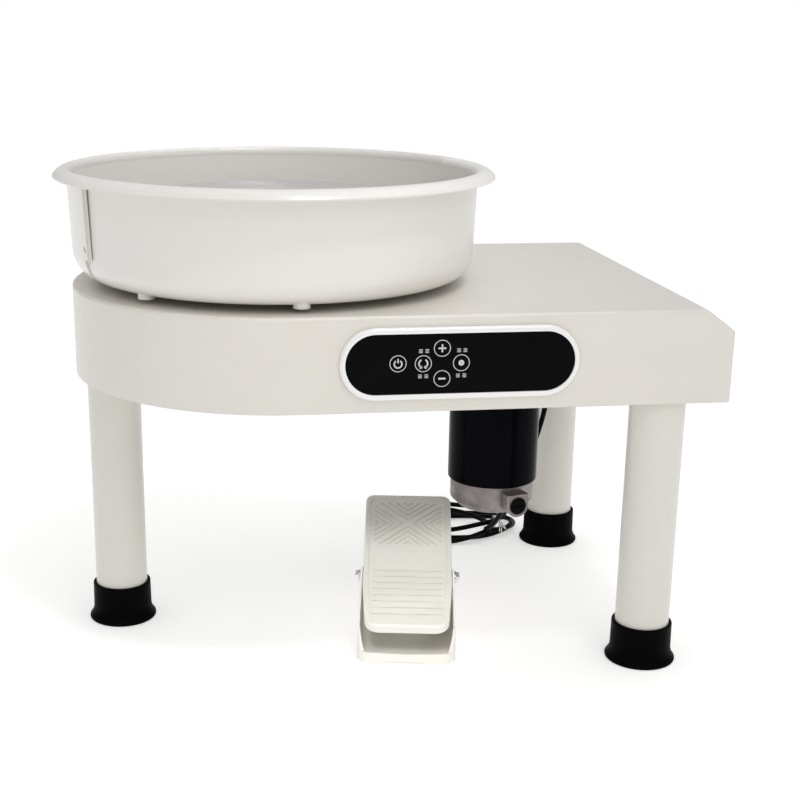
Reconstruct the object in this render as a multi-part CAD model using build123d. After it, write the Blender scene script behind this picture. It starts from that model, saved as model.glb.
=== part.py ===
from build123d import *
import os
from math import atan2, cos, degrees, pi, radians, sin, sqrt, tan

# Electric pottery wheel: a D-shaped table on three legs, a two-part splash basin round a
# turning wheel head, a belt-driving motor under the table and a foot pedal on a cord.
# Millimetres. +X runs along the table to its square end, +Z is up, and the floor is Z = 0.

# Overall
SPINDLE_X = -90.0

# Table housing
HOUSING_R = 191.5
HOUSING_END_X = 295.0
HOUSING_TOP = 340.5
HOUSING_BOTTOM = 257.0
HOUSING_SKIN = 2.5
BEVEL_START_X = 267.0
BEVEL_DROP = 21.0
BASE_PLATE_T = 4.0
BASE_PLATE_Z = HOUSING_BOTTOM + 1.5
BASE_TOP = BASE_PLATE_Z + BASE_PLATE_T
TAB_T = 3.0

# Legs
LEG_R = 25.0
LEG_WALL = 1.5
LEG_PLACES = {"left": (-247.0, 0.0), "front_right": (239.0, -160.0), "rear_right": (239.0, 160.0)}
FOOT_TOP = 37.7
FOOT_FLOOR = 3.5
FOOT_CUP_R = 28.1
FOOT_FLANGE_R = 32.75

# Spindle and bearings
SPINDLE_R = 10.0
RUNNING_GAP = 0.05
BEARING_R = 23.5
BEARING_T = 14.0
BEARING_TUBE_R = 31.0
LOWER_BEARING_Z = 295.0
UPPER_BEARING_Z = 333.0
FLANGE_R = 56.0
FLANGE_T = 8.0
FLANGE_LOW = HOUSING_TOP - HOUSING_SKIN - FLANGE_T
FLANGE_NUT_H = 6.5
FLANGE_BOLT_R = 44.0

# Wheel head
HEAD_R = 125.0
HEAD_TOP = 418.5
HEAD_T = 12.0
HEAD_HUB_R = 26.0
HEAD_HUB_Z = 366.0
HEAD_GROOVES = (20.0, 40.0, 60.0, 80.0, 100.0, 116.0)

# Belt drive
MOTOR_X = 129.0
PULLEY_Z = 269.0
PULLEY_H = 20.0
DRIVEN_R = 75.0
DRIVE_R = 12.0
BELT_T = 2.4
BELT_GAP = 0.35

# Motor
CAN_R = 45.0
CAN_BOTTOM = 133.0
CAN_TOP = 250.5
BELL_R = 42.0
BELL_BOTTOM = 103.5
SHAFT_R = 5.0
BRUSH_Z = 117.8
BRUSH_TURN = 285.0
BRUSH_FACE = 55.0
BRUSH_BORE_R = 5.0
BRUSH_CAP_R = 8.6
BRUSH_CAP_T = 3.0
BOSS_HALF = 11.8
BOSS_TOP = 11.2

# Splash basin: its rear half is a little wider, and laps over the front half at both seams
BASIN_BOTTOM = 347.0
BASIN_FLOOR_T = 3.0
BASIN_SKIN = 2.6
BASIN_WALL_TOP = 438.0
BASIN_CREST_R = 192.6
BASIN_CREST = 446.5
BASIN_RIM_R = 205.0
BASIN_COLLAR_R = 50.0
BASIN_COLLAR_TOP = 396.0
FRONT_FOOT_R = 185.8
FRONT_TOP_R = 188.8
FRONT_FILLET = 20.0
REAR_FOOT_R = 188.8
REAR_TOP_R = 192.6
REAR_FILLET = 24.0
SPLIT_TURN = 202.0
SPLIT_GAP = 0.3
LAP_TURN = 3.3
LAP_LOW = 372.0
LAP_HIGH = 437.0
NUB_R = 7.5
NUB_RING = 168.5
NUB_BOTTOM = 344.5
FRONT_NUBS = (223.0, 272.0)
REAR_NUBS = (88.0, 153.0)
DRAIN_TURN = 272.0
DRAIN_RING = 150.0
DRAIN_R = 5.5

# Control panel
PANEL_X = 49.25
PANEL_Z = 299.5
BEZEL_L = 209.0
BEZEL_H = 63.0
GLASS_L = 199.5
GLASS_H = 52.5
BEZEL_PROUD = 4.0
GLASS_PROUD = 2.6

# Foot pedal, in its own frame: u across, v towards the toe, w up, origin under the pivot
PEDAL_X = 27.6
PEDAL_Y = -83.8
PEDAL_TURN = -10.4
PIVOT_W = 61.0
BASE_FRONT_V = -66.5
BASE_FRONT_BOW = 4.0
BASE_REAR_V = 104.0
BASE_HALF_U = 46.5
BASE_DRAFT = 1.05
BASE_WALL = 1.9
BASE_FLOOR_W = 1.5
TREADLE_TILT = 18.5
TREADLE_TOE = 121.0
TREADLE_HEEL = -78.0
TREADLE_TOP = 7.0
TREADLE_HALF_U = 43.15
TREADLE_SKIRT = 9.0
TREADLE_PLATE = 3.6
DISH_DEPTH = 1.0
TREAD_DEPTH = 1.0
TREAD_FIELD = 33.4
CHEVRON_V = 74.5
CHEVRON_FIRST = 5.4
CHEVRON_STEP = 7.9
CHEVRON_COUNT = 4
CHEVRON_W = 2.3
GROOVE_FIRST_V = -61.0
GROOVE_PITCH = 8.9
GROOVE_COUNT = 8
GROOVE_W = 1.8
PIVOT_R = 3.0
GEAR_MODULE = 1.0
SECTOR_TEETH = 64
PINION_TEETH = 16
MESH_TURN = -70.0

# Pedal cord
CORD_D = 5.6
BOOT_X = 202.0
BOOT_Y = 60.0
BOOT_L = 30.0
COIL_X = 143.0
COIL_Y = 211.0
COIL_A = 74.0
COIL_B = 62.0
COIL_H = 12.0

PARTS = {}


def rod(radius, low, high, x=0.0, y=0.0):
    return Pos(x, y, low) * Cylinder(radius, high - low, align=(Align.CENTER, Align.CENTER, Align.MIN))


def ring(outer, inner, low, high, x=0.0, y=0.0):
    return rod(outer, low, high, x, y) - rod(inner, low - 1, high + 1, x, y)


def block(low, high):
    size = [b - a for a, b in zip(low, high)]
    return Pos(*low) * Box(*size, align=(Align.MIN, Align.MIN, Align.MIN))


def lathe(points, x=0.0, y=0.0):
    """Turn an outline of (radius, height) points about a vertical axis at x, y."""
    face = make_face(Polyline(*[(r, 0, z) for r, z in points], close=True))
    return Pos(x, y, 0) * revolve(face, Axis.Z)


def polar(radius, turn, x=0.0, y=0.0):
    return x + radius * cos(radians(turn)), y + radius * sin(radians(turn))


def group(solids):
    return Compound(children=[s for item in solids for s in item.solids()])


# ---------------------------------------------------------------- table


def d_face(radius, end_x, corner):
    """The table's outline: a half circle about the spindle and a straight-sided end."""
    sides = Polyline((SPINDLE_X, -radius), (end_x, -radius), (end_x, radius), (SPINDLE_X, radius))
    nose = ThreePointArc((SPINDLE_X, radius), (SPINDLE_X - radius, 0), (SPINDLE_X, -radius))
    face = make_face([*sides.edges(), nose.edge()])
    if corner:
        ends = face.vertices().filter_by_position(Axis.X, end_x - 1, end_x + 1)
        face = fillet(ends, corner)
    return face


def bevel_cut(inset):
    """The wedge taken off the top of the square end, moved in by the skin for the inside."""
    slope = atan2(BEVEL_DROP, HOUSING_END_X - BEVEL_START_X)
    shift_x, shift_z = -inset * sin(slope), -inset * cos(slope)
    high = (BEVEL_START_X + shift_x, HOUSING_TOP + shift_z)
    low = (HOUSING_END_X + shift_x, HOUSING_TOP - BEVEL_DROP + shift_z)
    reach = 2.0
    start = (high[0] - reach * cos(slope), high[1] + reach * sin(slope))
    end = (low[0] + reach * cos(slope), low[1] - reach * sin(slope))
    corner = (end[0], start[1])
    face = make_face(Polyline(*[(p[0], 0, p[1]) for p in (start, end, corner)], close=True))
    return extrude(face, amount=2 * HOUSING_R, dir=(0, 1, 0), both=True)


def tab_places():
    """Where the fixing tabs stand round the inside of the skin: x, y and the way inwards."""
    inside = HOUSING_R - HOUSING_SKIN
    places = []
    for turn in (130.0, 230.0):
        x, y = polar(inside - 8, turn, SPINDLE_X)
        places.append((x, y, turn))
    for x in (-60.0, 70.0, 185.0):
        places.append((x, inside - 8, 90.0))
        places.append((x, -inside + 8, 270.0))
    places.append((HOUSING_END_X - HOUSING_SKIN - 8, 60.0, 0.0))
    places.append((HOUSING_END_X - HOUSING_SKIN - 8, -60.0, 0.0))
    return places


def stadium(length, height, low_y, high_y, x, z):
    face = Plane.XZ * SlotOverall(length, height)
    solid = extrude(face, amount=high_y - low_y)
    return Pos(x, high_y, z) * solid


def housing_shell():
    height = HOUSING_TOP - HOUSING_BOTTOM
    body = Pos(0, 0, HOUSING_BOTTOM) * extrude(d_face(HOUSING_R, HOUSING_END_X, 5.0), amount=height)
    body = body - bevel_cut(0.0)
    top = body.edges().filter_by_position(Axis.Z, HOUSING_TOP - 0.1, HOUSING_TOP + 0.1)
    body = fillet(top, 3.0)
    inner_face = d_face(HOUSING_R - HOUSING_SKIN, HOUSING_END_X - HOUSING_SKIN, 2.5)
    inner = Pos(0, 0, HOUSING_BOTTOM - 1) * extrude(inner_face, amount=height + 1 - HOUSING_SKIN)
    body = body - (inner - bevel_cut(HOUSING_SKIN))
    for x, y, turn in tab_places():
        tab = Pos(x, y, BASE_TOP) * Rot(0, 0, turn) * (
            Pos(0.5, 0, TAB_T / 2) * Box(18, 26, TAB_T) - Cylinder(2.0, 20)
        )
        body = body + tab
    body = body - rod(BEARING_TUBE_R + 0.5, HOUSING_TOP - 10, HOUSING_TOP + 10, SPINDLE_X)
    for turn in (45, 135, 225, 315):
        x, y = polar(FLANGE_BOLT_R, turn, SPINDLE_X)
        body = body - rod(4.5, HOUSING_TOP - 10, HOUSING_TOP + 10, x, y)
    body = body - stadium(GLASS_L - 12, GLASS_H - 12, -HOUSING_R - 5, -HOUSING_R + 6, PANEL_X, PANEL_Z)
    inlet = block((176, HOUSING_R - 6, 272), (204, HOUSING_R + 5, 292.5))
    return body - inlet


def base_plate():
    face = d_face(HOUSING_R - HOUSING_SKIN - 0.2, HOUSING_END_X - HOUSING_SKIN - 0.2, 2.0)
    plate = Pos(0, 0, BASE_PLATE_Z) * extrude(face, amount=BASE_PLATE_T)
    for x, y, turn in tab_places():
        plate = plate - rod(2.2, BASE_PLATE_Z - 1, BASE_TOP + 1, x, y)
    for x, y in LEG_PLACES.values():
        plate = plate - rod(6.0, BASE_PLATE_Z - 1, BASE_TOP + 1, x, y)
    plate = plate - rod(16.0, BASE_PLATE_Z - 1, BASE_TOP + 1, MOTOR_X)
    for x, y in motor_screw_places():
        slot = Pos(x, y, BASE_PLATE_Z - 1) * extrude(SlotOverall(17, 5.4), amount=BASE_PLATE_T + 2)
        plate = plate - slot
    return plate - rod(5.0, BASE_PLATE_Z - 1, BASE_TOP + 1, BOOT_X, BOOT_Y)


def base_plate_screws():
    screws = []
    for x, y, turn in tab_places():
        head = rod(4.0, BASE_PLATE_Z - 1.4, BASE_PLATE_Z, x, y)
        shank = rod(2.0, BASE_PLATE_Z, BASE_TOP + TAB_T + 2, x, y)
        screws.append(head + shank)
    return group(screws)


# ---------------------------------------------------------------- legs


def leg(x, y):
    tube = ring(LEG_R, LEG_R - LEG_WALL, FOOT_FLOOR, BASE_PLATE_Z, x, y)
    plug = ring(LEG_R - LEG_WALL, 6.0, BASE_PLATE_Z - 12, BASE_PLATE_Z, x, y)
    return tube + plug


def foot(x, y):
    """A moulded rubber cup with a trumpet foot, its edges rolled over."""
    straight = Polyline((LEG_R, FOOT_FLOOR), (LEG_R, FOOT_TOP), (FOOT_CUP_R - 1, FOOT_TOP))
    lip = RadiusArc((FOOT_CUP_R - 1, FOOT_TOP), (FOOT_CUP_R, FOOT_TOP - 1), 1)
    side = Line((FOOT_CUP_R, FOOT_TOP - 1), (FOOT_CUP_R + 0.3, 14))
    flare = ThreePointArc((FOOT_CUP_R + 0.3, 14), (FOOT_CUP_R + 1.6, 7.6), (FOOT_FLANGE_R - 0.4, 3.4))
    edge = ThreePointArc((FOOT_FLANGE_R - 0.4, 3.4), (FOOT_FLANGE_R, 1.9), (FOOT_FLANGE_R - 1.4, 0))
    base = Polyline((FOOT_FLANGE_R - 1.4, 0), (0, 0), (0, FOOT_FLOOR), (LEG_R, FOOT_FLOOR))
    edges = [*straight.edges(), lip.edge(), side.edge(), flare.edge(), edge.edge(), *base.edges()]
    face = Plane.XZ * make_face(edges)
    return Pos(x, y, 0) * revolve(face, Axis.Z)


def leg_bolts():
    bolts = []
    for x, y in LEG_PLACES.values():
        head = Pos(x, y, BASE_TOP) * extrude(RegularPolygon(10, 6), amount=7.5)
        bolts.append(head + rod(6.0, BASE_PLATE_Z - 20, BASE_TOP, x, y))
    return group(bolts)


# ---------------------------------------------------------------- spindle


def bearing_housing():
    low, high = LOWER_BEARING_Z - 2, UPPER_BEARING_Z + BEARING_T + 3
    body = rod(BEARING_TUBE_R, low, high)
    body = body + rod(FLANGE_R, FLANGE_LOW, HOUSING_TOP - HOUSING_SKIN)
    body = body - rod(20.0, low - 1, high + 1)
    body = body - rod(BEARING_R, low - 1, LOWER_BEARING_Z + BEARING_T)
    body = body - rod(BEARING_R, UPPER_BEARING_Z, high + 1)
    for turn in (45, 135, 225, 315):
        x, y = polar(FLANGE_BOLT_R, turn)
        body = body - rod(4.0, 300, HOUSING_TOP + 10, x, y)
    return Pos(SPINDLE_X, 0, 0) * body


def bearing(z):
    """A shielded deep-groove ball bearing; its races and shields are one solid."""
    inner = SPINDLE_R + RUNNING_GAP
    outline = [
        (inner, z), (14.5, z), (14.5, z + 0.8), (19.5, z + 0.8), (19.5, z), (BEARING_R, z),
        (BEARING_R, z + BEARING_T), (19.5, z + BEARING_T), (19.5, z + BEARING_T - 0.8),
        (14.5, z + BEARING_T - 0.8), (14.5, z + BEARING_T), (inner, z + BEARING_T),
    ]
    return lathe(outline, SPINDLE_X)


def spindle_seal():
    low = UPPER_BEARING_Z + BEARING_T
    return lathe([(SPINDLE_R + 0.1, low), (BEARING_R, low), (BEARING_R, low + 3), (14, low + 3),
                  (SPINDLE_R + 0.1, low + 2)], SPINDLE_X)


def flange_bolts():
    bolts = []
    for turn in (45, 135, 225, 315):
        x, y = polar(FLANGE_BOLT_R, turn, SPINDLE_X)
        head = Pos(x, y, HOUSING_TOP) * extrude(RegularPolygon(7.2, 6), amount=5.3)
        nut_low = FLANGE_LOW - FLANGE_NUT_H
        nut = Pos(x, y, nut_low) * extrude(RegularPolygon(7.2, 6), amount=FLANGE_NUT_H)
        bolts.append(head + nut + rod(4.0, nut_low - 3.5, HOUSING_TOP, x, y))
    return group(bolts)


def wheel_head():
    low, top = HEAD_TOP - HEAD_T, HEAD_TOP
    outline = [(0, HEAD_HUB_Z), (HEAD_HUB_R - 1, HEAD_HUB_Z), (HEAD_HUB_R, HEAD_HUB_Z + 1)]
    outline += [(HEAD_HUB_R, low - 5), (HEAD_HUB_R + 5, low), (HEAD_R - 12, low), (HEAD_R - 2, low + 3)]
    outline += [(HEAD_R, low + 5), (HEAD_R, top - 2.2), (HEAD_R - 0.7, top - 0.7), (HEAD_R - 2.2, top)]
    for radius in reversed(HEAD_GROOVES):
        outline += [(radius + 0.9, top), (radius + 0.4, top - 0.7)]
        outline += [(radius - 0.4, top - 0.7), (radius - 0.9, top)]
    outline += [(0, top)]
    head = lathe(outline) - rod(SPINDLE_R, HEAD_HUB_Z - 1, top - 10)
    screw_hole = Pos(0, 0, HEAD_HUB_Z + 10) * Rot(0, 90, 0) * Cylinder(3.0, 80)
    return Pos(SPINDLE_X, 0, 0) * (head - screw_hole)


def head_screws():
    screws = []
    for side in (-1, 1):
        stem = Pos(side * (SPINDLE_R + HEAD_HUB_R - 1) / 2, 0, HEAD_HUB_Z + 10) * Rot(0, 90, 0)
        length = HEAD_HUB_R - 1 - SPINDLE_R
        socket = Pos(0, 0, side * length / 2) * Cylinder(1.5, 6)
        screws.append(Pos(SPINDLE_X, 0, 0) * (stem * (Cylinder(3.0, length) - socket)))
    return group(screws)


def spindle():
    top = HEAD_TOP - 10
    outline = [(0, 265), (SPINDLE_R - 1, 265), (SPINDLE_R, 266)]
    outline += [(SPINDLE_R, LOWER_BEARING_Z + BEARING_T + 0.5)]
    outline += [(SPINDLE_R + 3, LOWER_BEARING_Z + BEARING_T + 0.5), (SPINDLE_R + 3, UPPER_BEARING_Z - 0.5)]
    outline += [(SPINDLE_R, UPPER_BEARING_Z - 0.5), (SPINDLE_R, top - 1), (SPINDLE_R - 1, top), (0, top)]
    return lathe(outline, SPINDLE_X)


def pulley(radius, hub_r, bore_r, x, spokes):
    """A flanged flat-belt pulley with a thin web between rim and hub."""
    low, high = PULLEY_Z, PULLEY_Z + PULLEY_H
    flange = 2.5 if radius > 40 else 3.0
    outline = [(bore_r, low), (radius + flange, low), (radius + flange, low + 1.5), (radius, low + 2.2)]
    outline += [(radius, high - 2.2), (radius + flange, high - 1.5), (radius + flange, high)]
    outline += [(bore_r, high)]
    body = lathe(outline, x)
    if spokes:
        web = 5.0
        middle = (low + high) / 2
        body = body - ring(radius - 6, hub_r, low - 1, middle - web / 2, x)
        body = body - ring(radius - 6, hub_r, middle + web / 2, high + 1, x)
        for index in range(spokes):
            px, py = polar((radius - 6 + hub_r) / 2, index * 360 / spokes, x)
            body = body - rod(13.0, low - 1, high + 1, px, py)
    return body


def pulley_collar():
    """The split collar that holds the driven pulley up on the spindle."""
    return ring(18.0, SPINDLE_R, PULLEY_Z - 3.5, PULLEY_Z, SPINDLE_X)


def belt_face(offset):
    """The belt's path round both pulleys, at an offset from their faces."""
    big, small, span = DRIVEN_R + offset, DRIVE_R + offset, MOTOR_X - SPINDLE_X
    lean = degrees(atan2(sqrt(span**2 - (big - small) ** 2), big - small))
    a, b = polar(big, lean, SPINDLE_X), polar(small, lean, MOTOR_X)
    c, d = (b[0], -b[1]), (a[0], -a[1])
    lines = [Line(a, b), Line(c, d)]
    arcs = [ThreePointArc(b, (MOTOR_X + small, 0), c), ThreePointArc(d, (SPINDLE_X - big, 0), a)]
    return make_face([*[line.edge() for line in lines], *[arc.edge() for arc in arcs]])


def drive_belt():
    width = PULLEY_H - 6
    face = belt_face(BELT_GAP + BELT_T) - belt_face(BELT_GAP)
    return Pos(0, 0, PULLEY_Z + 3) * extrude(face, amount=width)


# ---------------------------------------------------------------- motor


def motor_screw_places():
    return [(MOTOR_X + sx * 24.0, sy * 24.0) for sx in (-1, 1) for sy in (-1, 1)]


def motor_can():
    r, inner = CAN_R, CAN_R - 2.5
    outline = [(inner, CAN_BOTTOM), (r - 1.5, CAN_BOTTOM), (r - 0.4, CAN_BOTTOM + 0.5)]
    outline += [(r, CAN_BOTTOM + 1.8)]
    outline += [(r, CAN_TOP), (inner, CAN_TOP)]
    return lathe(outline, MOTOR_X)


def motor_drive_bell():
    inner = CAN_R - 2.5
    outline = [(inner - 3, CAN_TOP - 5), (inner, CAN_TOP - 5), (inner, CAN_TOP), (CAN_R, CAN_TOP)]
    outline += [(CAN_R, BASE_PLATE_Z), (SHAFT_R + 2, BASE_PLATE_Z), (SHAFT_R + 2, BASE_PLATE_Z - 1.5)]
    outline += [(11, BASE_PLATE_Z - 1.5), (11, CAN_TOP - 1), (inner - 3, CAN_TOP - 1)]
    bell = lathe(outline, MOTOR_X)
    for x, y in motor_screw_places():
        bell = bell - rod(2.5, CAN_TOP - 10, BASE_PLATE_Z + 1, x, y)
    return bell


def brush_boss(turn):
    """A square boss with a round belly that holds a carbon brush in the end bell."""
    start = 30.0
    face = make_face([
        Line((-BOSS_HALF, 0), (-BOSS_HALF, BOSS_TOP)).edge(),
        Line((-BOSS_HALF, BOSS_TOP), (BOSS_HALF, BOSS_TOP)).edge(),
        Line((BOSS_HALF, BOSS_TOP), (BOSS_HALF, 0)).edge(),
        ThreePointArc((BOSS_HALF, 0), (0, -BOSS_HALF), (-BOSS_HALF, 0)).edge(),
    ])
    boss = extrude(Plane.YZ * face, amount=BRUSH_FACE - start)
    return Pos(MOTOR_X, 0, BRUSH_Z) * Rot(0, 0, turn) * (Pos(start, 0, 0) * boss)


def brush_stem(turn, radius, start, end):
    """A round bar along a brush's axis, between two distances from the shaft."""
    bar = Cylinder(radius, end - start, align=(Align.CENTER, Align.CENTER, Align.MIN))
    return Pos(MOTOR_X, 0, BRUSH_Z) * Rot(0, 0, turn) * (Pos(start, 0, 0) * Rot(0, 90, 0) * bar)


def motor_end_bell():
    low = BELL_BOTTOM
    outer = [(0, low), (31.5, low), (33.5, low + 0.8), (BELL_R - 0.7, low + 8.4), (BELL_R, low + 10)]
    outer += [(BELL_R, CAN_BOTTOM), (CAN_R - 2.5, CAN_BOTTOM)]
    outer += [(CAN_R - 2.5, CAN_BOTTOM + 5), (0, CAN_BOTTOM + 5)]
    bell = lathe(outer, MOTOR_X)
    for turn in (BRUSH_TURN, BRUSH_TURN + 180):
        bell = bell + brush_boss(turn)
    cavity = [(0, 113), (36.0, 113), (38.5, 117), (38.5, CAN_BOTTOM + 6), (0, CAN_BOTTOM + 6)]
    bell = bell - lathe(cavity, MOTOR_X)
    bell = bell - rod(11.0, 107, 114, MOTOR_X)
    for turn in (BRUSH_TURN, BRUSH_TURN + 180):
        bell = bell - brush_stem(turn, BRUSH_BORE_R, 20, BRUSH_FACE + 5)
        bell = bell - brush_stem(turn, BRUSH_CAP_R, BRUSH_FACE + 1 - BRUSH_CAP_T, BRUSH_FACE + 5)
    return bell


def motor_brush_caps():
    seat, face = BRUSH_FACE + 1 - BRUSH_CAP_T, BRUSH_FACE + 1
    caps = []
    for turn in (BRUSH_TURN, BRUSH_TURN + 180):
        cap = brush_stem(turn, BRUSH_CAP_R, seat, face) + brush_stem(turn, BRUSH_BORE_R, 42.0, seat)
        slot = Pos(MOTOR_X, 0, BRUSH_Z) * Rot(0, 0, turn) * (Pos(face, 0, 0) * Box(2.4, 11, 1.8))
        caps.append(cap - slot)
    return group(caps)


def motor_brushes():
    brushes = []
    for turn in (BRUSH_TURN, BRUSH_TURN + 180):
        block_shape = Pos(21.5, 0, 0) * Box(18, 6, 6)
        brushes.append(Pos(MOTOR_X, 0, BRUSH_Z + 1) * Rot(0, 0, turn) * block_shape)
    return group(brushes)


def motor_magnets():
    magnets = []
    shell = ring(CAN_R - 2.5, 35.0, 148, 232, MOTOR_X)
    for side in (-1, 1):
        keep = Pos(MOTOR_X, side * 28, 190) * Box(74, 40, 100)
        magnets.append(shell & keep)
    return group(magnets)


def motor_bearings():
    inner = SHAFT_R + RUNNING_GAP
    lower = ring(11.0, inner, 107, 113, MOTOR_X)
    upper = ring(11.0, inner, CAN_TOP - 1, BASE_PLATE_Z - 1.5, MOTOR_X)
    return group([lower, upper])


def motor_shaft():
    top = PULLEY_Z + PULLEY_H + 5
    outline = [(0, 107.5), (SHAFT_R, 107.5), (SHAFT_R, top - 0.8), (SHAFT_R - 0.8, top), (0, top)]
    return lathe(outline, MOTOR_X)


def motor_armature():
    outline = [(SHAFT_R, 113.6), (12, 113.6), (12, 124), (15, 127), (15, 138), (26, 142), (26, 152)]
    outline += [(33.5, 152)]
    outline += [(33.5, 228), (26, 228), (26, 239), (SHAFT_R, 242)]
    core = lathe(outline, MOTOR_X)
    for index in range(12):
        x, y = polar(33.5, index * 30, MOTOR_X)
        core = core - Pos(x, y, 190) * Rot(0, 0, index * 30) * Box(8, 2.4, 76)
    return core


def motor_screws():
    screws = []
    for x, y in motor_screw_places():
        head = rod(4.6, BASE_TOP, BASE_TOP + 3.2, x, y)
        screws.append(head + rod(2.5, CAN_TOP - 3.5, BASE_TOP, x, y))
    return group(screws)


# ---------------------------------------------------------------- electronics


def panel_bezel():
    """The white ring round the panel, its outside rounded over towards the table."""
    face = -HOUSING_R - BEZEL_PROUD
    outer = stadium(BEZEL_L, BEZEL_H, face, -HOUSING_R, PANEL_X, PANEL_Z)
    outer = fillet(outer.edges().filter_by_position(Axis.Y, face - 0.1, face + 0.1), 3.2)
    return outer - stadium(GLASS_L, GLASS_H, face - 5, -HOUSING_R + 9, PANEL_X, PANEL_Z)


def panel_glass():
    return stadium(GLASS_L - 0.2, GLASS_H - 0.2, -HOUSING_R - GLASS_PROUD, -HOUSING_R, PANEL_X, PANEL_Z)


def control_board():
    x0, z0 = PANEL_X - 88, PANEL_Z - 17
    y_face = -HOUSING_R + HOUSING_SKIN + 8
    board = block((x0, y_face, z0), (x0 + 176, y_face + 1.6, z0 + 34))
    for index, x in enumerate((x0 + 38, x0 + 60, x0 + 76, x0 + 76, x0 + 93)):
        z = (PANEL_Z, PANEL_Z, PANEL_Z + 11, PANEL_Z - 11, PANEL_Z)[index]
        pad = Pos(x, y_face - 4, z) * Rot(90, 0, 0) * Cylinder(4.0, 8)
        board = board + pad
    chips = block((x0 + 110, y_face + 1.6, z0 + 8), (x0 + 150, y_face + 6, z0 + 26))
    board = board + chips
    for x, z in board_holes():
        board = board - Pos(x, y_face, z) * Rot(90, 0, 0) * Cylinder(1.6, 20)
    return board


def board_holes():
    return [(PANEL_X + sx * 84.0, PANEL_Z + sz * 13.0) for sx in (-1, 1) for sz in (-1, 1)]


def board_standoffs():
    y0 = -HOUSING_R + HOUSING_SKIN
    posts = []
    for x, z in board_holes():
        turn = Rot(-90, 0, 0)
        column = Cylinder(3.2, 8, align=(Align.CENTER, Align.CENTER, Align.MIN))
        pin = Cylinder(1.6, 11.5, align=(Align.CENTER, Align.CENTER, Align.MIN))
        posts.append(Pos(x, y0, z) * turn * (column + pin))
    return group(posts)


def driver_board():
    """The motor's speed controller: board, heat sink and two smoothing capacitors."""
    z0 = BASE_TOP + 6
    board = block((180, -60, z0), (262, 50, z0 + 1.6))
    sink = block((186, -54, z0 + 1.6), (200, 44, z0 + 30))
    for index in range(9):
        y = -48 + index * 10.5
        sink = sink - block((190, y, z0 + 6), (201, y + 5, z0 + 31))
    for y in (-30, 10):
        board = board + rod(11.0, z0 + 1.6, z0 + 32, 240, y)
    for x, y in driver_posts():
        board = board - rod(1.6, z0 - 1, z0 + 3, x, y)
    return board + sink


def driver_posts():
    return [(x, y) for x in (184.0, 258.0) for y in (-56.0, 46.0)]


def driver_standoffs():
    posts = []
    for x, y in driver_posts():
        posts.append(rod(3.2, BASE_TOP, BASE_TOP + 6, x, y) + rod(1.6, BASE_TOP + 6, BASE_TOP + 9.6, x, y))
    return group(posts)


def inlet_pins():
    pins = []
    for x in (184.0, 190.0, 196.0):
        pins.append(block((x - 1, HOUSING_R - 16, 277.5), (x + 1, HOUSING_R - 2, 282)))
    return group(pins)


def mains_inlet():
    """A chassis inlet socket in the back wall."""
    body = block((176.5, HOUSING_R - 22, 272.5), (203.5, HOUSING_R, 292))
    flange = block((171, HOUSING_R, 269), (209, HOUSING_R + 2.2, 295.5))
    flange = fillet(flange.edges().filter_by(Axis.Y), 4.0)
    cavity = block((179, HOUSING_R - 14, 275), (201, HOUSING_R + 5, 289.5))
    return body + flange - cavity - inlet_pins()


# ---------------------------------------------------------------- basin


def basin_outline(foot_r, top_r, outer_fillet):
    """Half section of a basin half: collar, floor, leaning wall and rolled rim."""
    low, floor, top = BASIN_BOTTOM, BASIN_BOTTOM + BASIN_FLOOR_T, BASIN_WALL_TOP
    inner_fillet = outer_fillet - BASIN_SKIN

    def outside(z):
        return foot_r + (top_r - foot_r) * (z - low) / (top - low)

    def inside(z):
        return outside(z) - BASIN_SKIN

    def corner(wall, base, radius):
        """The round from the floor's level at base up into the wall."""
        start = (wall(base) - radius, base)
        middle = (wall(base) - radius * (1 - sin(pi / 4)), base + radius * (1 - cos(pi / 4)))
        return ThreePointArc(start, middle, (wall(base + radius), base + radius)).edge()

    crest = (BASIN_CREST_R, BASIN_CREST)
    lip = [(BASIN_RIM_R - 0.6, 440.4), (BASIN_RIM_R, 439.6), (BASIN_RIM_R, 438.2)]
    lip.append((BASIN_RIM_R - 1.8, 438.0))
    throat = (inside(top) + 0.28 * (BASIN_CREST_R - inside(top)), 444.2)
    under = (top_r + 3.6, 443.6)
    under_lip = (lip[-1][0] - 0.44 * (lip[-1][0] - under[0]), 441.8)
    edges = Polyline(
        (BASIN_COLLAR_R, low), (BASIN_COLLAR_R, BASIN_COLLAR_TOP),
        (BASIN_COLLAR_R + 3, BASIN_COLLAR_TOP), (BASIN_COLLAR_R + 3, floor),
        (inside(floor) - inner_fillet, floor),
    ).edges()
    edges.append(corner(inside, floor, inner_fillet))
    edges.append(Line((inside(floor + inner_fillet), floor + inner_fillet), (inside(top), top)).edge())
    edges.append(ThreePointArc((inside(top), top), throat, crest).edge())
    edges.append(ThreePointArc(crest, (199.6, 444.7), lip[0]).edge())
    edges += Polyline(*lip).edges()
    edges.append(ThreePointArc(lip[-1], under_lip, under).edge())
    edges.append(ThreePointArc(under, (top_r + 1.0, 442.0), (top_r, top)).edge())
    edges.append(Line((top_r, top), (outside(low + outer_fillet), low + outer_fillet)).edge())
    edges.append(corner(outside, low, outer_fillet))
    edges.append(Line((foot_r - outer_fillet, low), (BASIN_COLLAR_R, low)).edge())
    return Plane.XZ * make_face(edges)


def sector(outline, start, sweep):
    """Turn an outline through part of a circle, starting at an angle."""
    return Rot(0, 0, start) * revolve(outline, Axis.Z, revolution_arc=sweep)


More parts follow.
